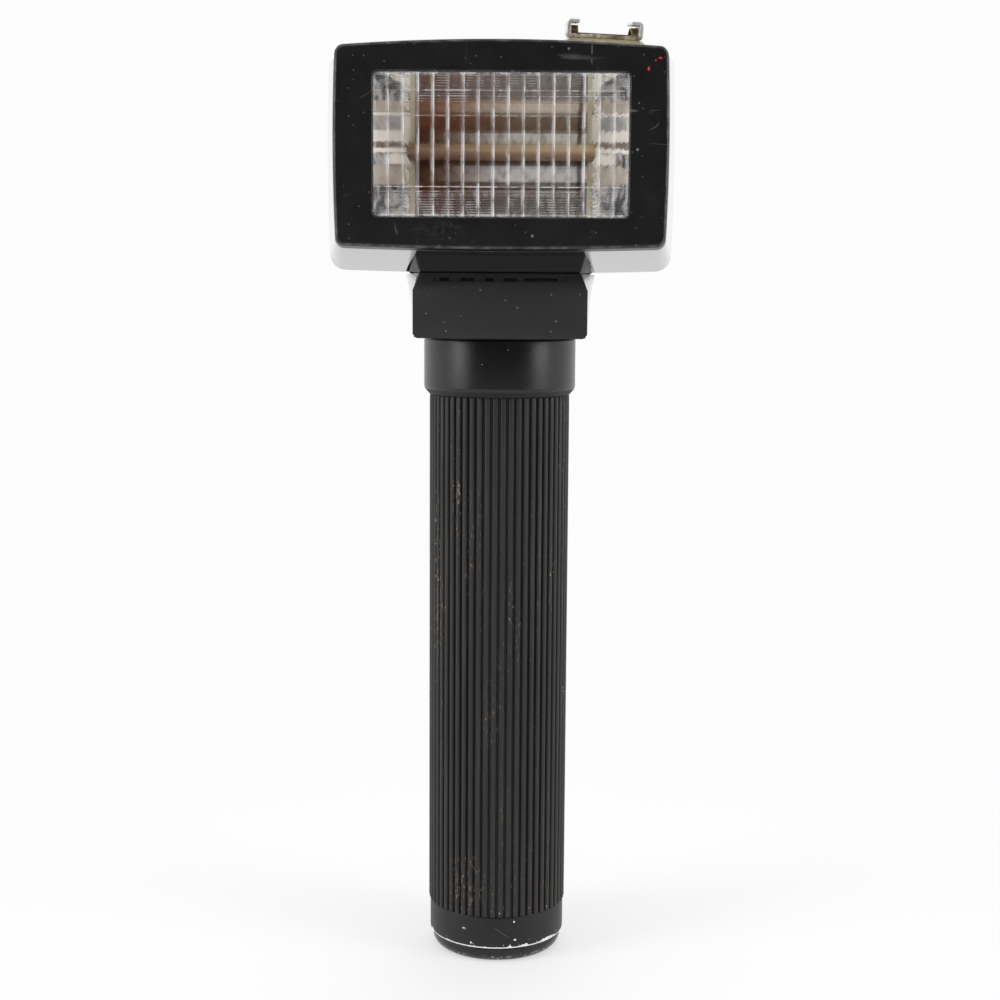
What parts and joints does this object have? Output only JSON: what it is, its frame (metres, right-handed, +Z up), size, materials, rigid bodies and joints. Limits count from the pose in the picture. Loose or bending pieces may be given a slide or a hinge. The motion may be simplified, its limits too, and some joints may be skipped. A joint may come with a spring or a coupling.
{
  "type": "handle mount flash",
  "caption": "Photographic flash on a ribbed battery handle, with a tapered lamp head that tilts on a swivelling neck and an accessory shoe on its top.",
  "frame": {"origin": "middle of the face that the handle stands on, on the handle's axis", "axes": "+Z up the handle's axis, -Y the way the lamp looks, +X to the right seen from the front"},
  "size_m": [0.0986, 0.0792, 0.2676],
  "materials": {
    "anodised_tube": "black anodised",
    "grip_rubber": "matte ribbed",
    "worn_black": "satin, worn edges",
    "collar_black": "semi-gloss",
    "inner_plastic": "matte",
    "cell_jacket": "smooth",
    "contact_brass": "bright",
    "board_green": "smooth",
    "capacitor_can": "sleeved",
    "seal_rubber": "matte",
    "nylon": "smooth",
    "bright_steel": "bright",
    "shell_black": "semi-gloss",
    "module_black": "fine texture",
    "bezel_black": "satin",
    "clear_lens": "clear, fluted",
    "reflector_mirror": "bright",
    "tube_glass": "clear",
    "coil_winding": "lacquered",
    "scale_metal": "brushed",
    "lamp_amber": "translucent",
    "shoe_metal": "worn nickel",
    "shoe_leaf": "tarnished",
    "dried_glue": "yellowed",
    "dial_black": "satin",
    "button_red": "smooth",
    "switch_grey": "smooth"
  },
  "bodies": {
    "handle": {"handle_tube": "anodised_tube", "grip_sleeve": "grip_rubber", "base_ring": "worn_black", "handle_collar": "collar_black", "battery_holder": "inner_plastic", "battery_cells": "cell_jacket", "battery_contacts": "contact_brass", "contact_board": "board_green", "main_capacitor": "capacitor_can", "capacitor_cradle": "seal_rubber", "swivel_washer": "nylon"},
    "battery_cap": {"battery_cap": "worn_black", "cap_contact": "contact_brass", "cap_spring": "bright_steel", "cap_seal": "seal_rubber"},
    "neck": {"neck_housing": "shell_black", "front_module": "module_black", "module_contacts": "inner_plastic", "hinge_pin": "bright_steel", "hinge_washers": "bright_steel", "swivel_circlip": "bright_steel", "thrust_washer": "bright_steel"},
    "head": {"head_bezel": "bezel_black", "head_front_shell": "shell_black", "head_rear_shell": "shell_black", "back_panel": "bezel_black", "panel_screws": "bright_steel", "fresnel_lens": "clear_lens", "reflector": "reflector_mirror", "reflector_cheeks": "reflector_mirror", "flash_tube": "tube_glass", "tube_electrodes": "bright_steel", "tube_grommets": "nylon", "trigger_coil": "coil_winding", "circuit_board": "board_green", "board_components": "inner_plastic", "tilt_bracket": "bright_steel", "bracket_screws": "bright_steel", "dial_plate": "scale_metal", "dial_hub": "bright_steel", "ready_lamp": "lamp_amber", "sync_socket": "bright_steel", "switch_body": "inner_plastic", "accessory_shoe": "shoe_metal", "shoe_spring": "shoe_leaf", "shoe_adhesive": "dried_glue"},
    "dial": {"calculator_dial": "dial_black"},
    "test_button": {"test_button": "button_red"},
    "power_switch": {"power_switch": "switch_grey"}
  },
  "joints": [
    {"name": "cap_turn", "type": "hinge", "parent": "handle", "child": "battery_cap", "pos_m": [0, 0, 0.004], "axis": [0, 0, 1], "range_deg": [0, 60]},
    {"name": "neck_swivel", "type": "hinge", "parent": "handle", "child": "neck", "pos_m": [0, 0, 0.179], "axis": [0, 0, 1], "range_deg": [-180, 90]},
    {"name": "head_tilt", "type": "hinge", "parent": "neck", "child": "head", "pos_m": [0, 0.017, 0.1905], "axis": [-1, 0, 0], "range_deg": [0, 90]},
    {"name": "dial_turn", "type": "hinge", "parent": "head", "child": "dial", "pos_m": [-0.014, 0.0384, 0.2294], "axis": [0, 1, 0], "continuous": true},
    {"name": "button_press", "type": "slide", "parent": "head", "child": "test_button", "axis": [0, -1, 0], "range_m": [0, 0.0012], "stiffness_N_per_m": 500, "springref_m": -0.0005},
    {"name": "switch_slide", "type": "slide", "parent": "head", "child": "power_switch", "axis": [0, 0, 1], "range_m": [0, 0.006]}
  ]
}
